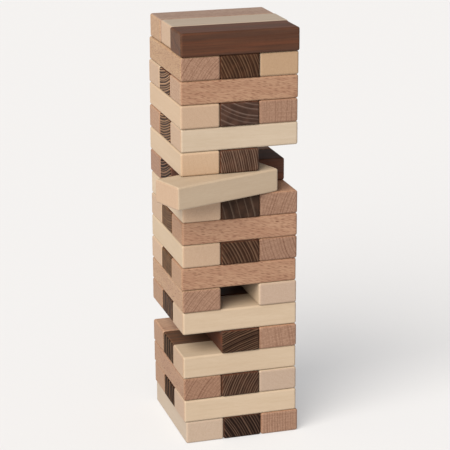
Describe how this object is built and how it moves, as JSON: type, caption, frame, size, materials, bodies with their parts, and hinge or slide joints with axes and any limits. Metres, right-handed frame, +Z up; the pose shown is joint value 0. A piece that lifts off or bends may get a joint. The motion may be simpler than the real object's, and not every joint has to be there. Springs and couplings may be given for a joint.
{
  "type": "giant tumbling tower",
  "caption": "Tall block-stacking lawn game: a square tower of equal wooden blocks in crosswise layers, some taken out and laid on top, one swung half out.",
  "frame": {"origin": "middle of the tower's footprint, on the ground", "axes": "+X to the right along the front, +Y to the back, +Z up"},
  "size_m": [0.2337, 0.2459, 0.6713],
  "materials": {
    "beech": "fine sanded, unvarnished, pinkish tan",
    "maple": "fine sanded, unvarnished, pale cream",
    "walnut": "fine sanded, unvarnished, dark brown"
  },
  "bodies": {
    "layer_01_left": {"layer_01_left_maple": "maple"},
    "layer_01_middle": {"layer_01_middle_walnut": "walnut"},
    "layer_01_right": {"layer_01_right_beech": "beech"},
    "layer_02_back": {"layer_02_back_beech": "beech"},
    "layer_02_front": {"layer_02_front_maple": "maple"},
    "layer_02_middle": {"layer_02_middle_walnut": "walnut"},
    "layer_03_left": {"layer_03_left_beech": "beech"},
    "layer_03_middle": {"layer_03_middle_walnut": "walnut"},
    "layer_03_right": {"layer_03_right_maple": "maple"},
    "layer_04_back": {"layer_04_back_beech": "beech"},
    "layer_04_front": {"layer_04_front_maple": "maple"},
    "layer_04_middle": {"layer_04_middle_walnut": "walnut"},
    "layer_05_middle": {"layer_05_middle_walnut": "walnut"},
    "layer_05_right": {"layer_05_right_beech": "beech"},
    "layer_06_back": {"layer_06_back_beech": "beech"},
    "layer_06_front": {"layer_06_front_maple": "maple"},
    "layer_06_middle": {"layer_06_middle_walnut": "walnut"},
    "layer_07_left": {"layer_07_left_beech": "beech"},
    "layer_07_right": {"layer_07_right_maple": "maple"},
    "layer_08_back": {"layer_08_back_maple": "maple"},
    "layer_08_front": {"layer_08_front_beech": "beech"},
    "layer_08_middle": {"layer_08_middle_walnut": "walnut"},
    "layer_09_left": {"layer_09_left_maple": "maple"},
    "layer_09_middle": {"layer_09_middle_walnut": "walnut"},
    "layer_09_right": {"layer_09_right_beech": "beech"},
    "layer_10_back": {"layer_10_back_maple": "maple"},
    "layer_10_front": {"layer_10_front_beech": "beech"},
    "layer_10_middle": {"layer_10_middle_walnut": "walnut"},
    "layer_11_left": {"layer_11_left_maple": "maple"},
    "layer_11_middle": {"layer_11_middle_walnut": "walnut"},
    "layer_11_right": {"layer_11_right_beech": "beech"},
    "layer_12_back": {"layer_12_back_beech": "beech"},
    "layer_12_front": {"layer_12_front_maple": "maple"},
    "layer_12_middle": {"layer_12_middle_walnut": "walnut"},
    "layer_13_left": {"layer_13_left_maple": "maple"},
    "layer_13_middle": {"layer_13_middle_walnut": "walnut"},
    "layer_14_back": {"layer_14_back_beech": "beech"},
    "layer_14_front": {"layer_14_front_maple": "maple"},
    "layer_14_middle": {"layer_14_middle_walnut": "walnut"},
    "layer_15_left": {"layer_15_left_maple": "maple"},
    "layer_15_middle": {"layer_15_middle_walnut": "walnut"},
    "layer_15_right": {"layer_15_right_beech": "beech"},
    "layer_16_back": {"layer_16_back_maple": "maple"},
    "layer_16_front": {"layer_16_front_beech": "beech"},
    "layer_16_middle": {"layer_16_middle_walnut": "walnut"},
    "layer_17_left": {"layer_17_left_beech": "beech"},
    "layer_17_middle": {"layer_17_middle_walnut": "walnut"},
    "layer_17_right": {"layer_17_right_maple": "maple"},
    "layer_18_back": {"layer_18_back_beech": "beech"},
    "layer_18_front": {"layer_18_front_walnut": "walnut"},
    "layer_18_middle": {"layer_18_middle_maple": "maple"}
  },
  "joints": [
    {"name": "layer_01_left_draw", "type": "slide", "parent": "layer_01_middle", "child": "layer_01_left", "axis": [0, 1, 0], "range_m": [-0.2, 0.2]},
    {"name": "layer_01_right_draw", "type": "slide", "parent": "layer_01_middle", "child": "layer_01_right", "axis": [0, 1, 0], "range_m": [-0.2, 0.2]},
    {"name": "layer_02_back_draw", "type": "slide", "parent": "layer_01_middle", "child": "layer_02_back", "axis": [1, 0, 0], "range_m": [-0.2, 0.2]},
    {"name": "layer_02_front_draw", "type": "slide", "parent": "layer_01_middle", "child": "layer_02_front", "axis": [1, 0, 0], "range_m": [-0.2, 0.2]},
    {"name": "layer_02_middle_draw", "type": "slide", "parent": "layer_01_middle", "child": "layer_02_middle", "axis": [1, 0, 0], "range_m": [-0.2, 0.2]},
    {"name": "layer_03_left_draw", "type": "slide", "parent": "layer_01_middle", "child": "layer_03_left", "axis": [0, 1, 0], "range_m": [-0.2, 0.2]},
    {"name": "layer_03_middle_draw", "type": "slide", "parent": "layer_01_middle", "child": "layer_03_middle", "axis": [0, 1, 0], "range_m": [-0.2, 0.2]},
    {"name": "layer_03_right_draw", "type": "slide", "parent": "layer_01_middle", "child": "layer_03_right", "axis": [0, 1, 0], "range_m": [-0.2, 0.2]},
    {"name": "layer_04_back_draw", "type": "slide", "parent": "layer_01_middle", "child": "layer_04_back", "axis": [1, 0, 0], "range_m": [-0.2, 0.2]},
    {"name": "layer_04_front_draw", "type": "slide", "parent": "layer_01_middle", "child": "layer_04_front", "axis": [1, 0, 0], "range_m": [-0.2, 0.2]},
    {"name": "layer_04_middle_draw", "type": "slide", "parent": "layer_01_middle", "child": "layer_04_middle", "axis": [1, 0, 0], "range_m": [-0.2, 0.2]},
    {"name": "layer_05_middle_draw", "type": "slide", "parent": "layer_01_middle", "child": "layer_05_middle", "axis": [0, 1, 0], "range_m": [-0.2, 0.2]},
    {"name": "layer_05_right_draw", "type": "slide", "parent": "layer_01_middle", "child": "layer_05_right", "axis": [0, 1, 0], "range_m": [-0.2, 0.2]},
    {"name": "layer_06_back_draw", "type": "slide", "parent": "layer_01_middle", "child": "layer_06_back", "axis": [1, 0, 0], "range_m": [-0.2, 0.2]},
    {"name": "layer_06_front_draw", "type": "slide", "parent": "layer_01_middle", "child": "layer_06_front", "axis": [1, 0, 0], "range_m": [-0.2, 0.2]},
    {"name": "layer_06_middle_draw", "type": "slide", "parent": "layer_01_middle", "child": "layer_06_middle", "axis": [1, 0, 0], "range_m": [-0.2, 0.2]},
    {"name": "layer_07_left_draw", "type": "slide", "parent": "layer_01_middle", "child": "layer_07_left", "axis": [0, 1, 0], "range_m": [-0.2, 0.2]},
    {"name": "layer_07_right_draw", "type": "slide", "parent": "layer_01_middle", "child": "layer_07_right", "axis": [0, 1, 0], "range_m": [-0.2, 0.2]},
    {"name": "layer_08_back_draw", "type": "slide", "parent": "layer_01_middle", "child": "layer_08_back", "axis": [1, 0, 0], "range_m": [-0.2, 0.2]},
    {"name": "layer_08_front_draw", "type": "slide", "parent": "layer_01_middle", "child": "layer_08_front", "axis": [1, 0, 0], "range_m": [-0.2, 0.2]},
    {"name": "layer_08_middle_draw", "type": "slide", "parent": "layer_01_middle", "child": "layer_08_middle", "axis": [1, 0, 0], "range_m": [-0.2, 0.2]},
    {"name": "layer_09_left_draw", "type": "slide", "parent": "layer_01_middle", "child": "layer_09_left", "axis": [0, 1, 0], "range_m": [-0.2, 0.2]},
    {"name": "layer_09_middle_draw", "type": "slide", "parent": "layer_01_middle", "child": "layer_09_middle", "axis": [0, 1, 0], "range_m": [-0.2, 0.2]},
    {"name": "layer_09_right_draw", "type": "slide", "parent": "layer_01_middle", "child": "layer_09_right", "axis": [0, 1, 0], "range_m": [-0.2, 0.2]},
    {"name": "layer_10_back_draw", "type": "slide", "parent": "layer_01_middle", "child": "layer_10_back", "axis": [1, 0, 0], "range_m": [-0.2, 0.2]},
    {"name": "layer_10_front_draw", "type": "slide", "parent": "layer_01_middle", "child": "layer_10_front", "axis": [1, 0, 0], "range_m": [-0.2, 0.2]},
    {"name": "layer_10_middle_draw", "type": "slide", "parent": "layer_01_middle", "child": "layer_10_middle", "axis": [1, 0, 0], "range_m": [-0.2, 0.2]},
    {"name": "layer_11_left_draw", "type": "slide", "parent": "layer_01_middle", "child": "layer_11_left", "axis": [0, 1, 0], "range_m": [-0.2, 0.2]},
    {"name": "layer_11_middle_draw", "type": "slide", "parent": "layer_01_middle", "child": "layer_11_middle", "axis": [0, 1, 0], "range_m": [-0.2, 0.2]},
    {"name": "layer_11_right_draw", "type": "slide", "parent": "layer_01_middle", "child": "layer_11_right", "axis": [0, 1, 0], "range_m": [-0.2, 0.2]},
    {"name": "layer_12_back_draw", "type": "slide", "parent": "layer_01_middle", "child": "layer_12_back", "axis": [1, 0, 0], "range_m": [-0.2, 0.2]},
    {"name": "layer_12_front_draw", "type": "slide", "parent": "layer_01_middle", "child": "layer_12_front", "axis": [-0.9483, -0.3173, 0], "range_m": [0, 0.2]},
    {"name": "layer_12_middle_draw", "type": "slide", "parent": "layer_01_middle", "child": "layer_12_middle", "axis": [1, 0, 0], "range_m": [-0.2, 0.2]},
    {"name": "layer_13_left_draw", "type": "slide", "parent": "layer_01_middle", "child": "layer_13_left", "axis": [0, 1, 0], "range_m": [-0.2, 0.2]},
    {"name": "layer_13_middle_draw", "type": "slide", "parent": "layer_01_middle", "child": "layer_13_middle", "axis": [0, 1, 0], "range_m": [-0.2, 0.2]},
    {"name": "layer_14_back_draw", "type": "slide", "parent": "layer_01_middle", "child": "layer_14_back", "axis": [1, 0, 0], "range_m": [-0.2, 0.2]},
    {"name": "layer_14_front_draw", "type": "slide", "parent": "layer_01_middle", "child": "layer_14_front", "axis": [1, 0, 0], "range_m": [-0.2, 0.2]},
    {"name": "layer_14_middle_draw", "type": "slide", "parent": "layer_01_middle", "child": "layer_14_middle", "axis": [1, 0, 0], "range_m": [-0.2, 0.2]},
    {"name": "layer_15_left_draw", "type": "slide", "parent": "layer_01_middle", "child": "layer_15_left", "axis": [0, 1, 0], "range_m": [-0.2, 0.2]},
    {"name": "layer_15_middle_draw", "type": "slide", "parent": "layer_01_middle", "child": "layer_15_middle", "axis": [0, 1, 0], "range_m": [-0.2, 0.2]},
    {"name": "layer_15_right_draw", "type": "slide", "parent": "layer_01_middle", "child": "layer_15_right", "axis": [0, 1, 0], "range_m": [-0.2, 0.2]},
    {"name": "layer_16_back_draw", "type": "slide", "parent": "layer_01_middle", "child": "layer_16_back", "axis": [1, 0, 0], "range_m": [-0.2, 0.2]},
    {"name": "layer_16_front_draw", "type": "slide", "parent": "layer_01_middle", "child": "layer_16_front", "axis": [1, 0, 0], "range_m": [-0.2, 0.2]},
    {"name": "layer_16_middle_draw", "type": "slide", "parent": "layer_01_middle", "child": "layer_16_middle", "axis": [1, 0, 0], "range_m": [-0.2, 0.2]},
    {"name": "layer_17_left_draw", "type": "slide", "parent": "layer_01_middle", "child": "layer_17_left", "axis": [0, 1, 0], "range_m": [-0.2, 0.2]},
    {"name": "layer_17_middle_draw", "type": "slide", "parent": "layer_01_middle", "child": "layer_17_middle", "axis": [0, 1, 0], "range_m": [-0.2, 0.2]},
    {"name": "layer_17_right_draw", "type": "slide", "parent": "layer_01_middle", "child": "layer_17_right", "axis": [0, 1, 0], "range_m": [-0.2, 0.2]},
    {"name": "layer_18_back_lift", "type": "slide", "parent": "layer_01_middle", "child": "layer_18_back", "axis": [0, 0, 1], "range_m": [0, 0.1]},
    {"name": "layer_18_front_lift", "type": "slide", "parent": "layer_01_middle", "child": "layer_18_front", "axis": [0, 0, 1], "range_m": [0, 0.1]},
    {"name": "layer_18_middle_lift", "type": "slide", "parent": "layer_01_middle", "child": "layer_18_middle", "axis": [0, 0, 1], "range_m": [0, 0.1]}
  ]
}
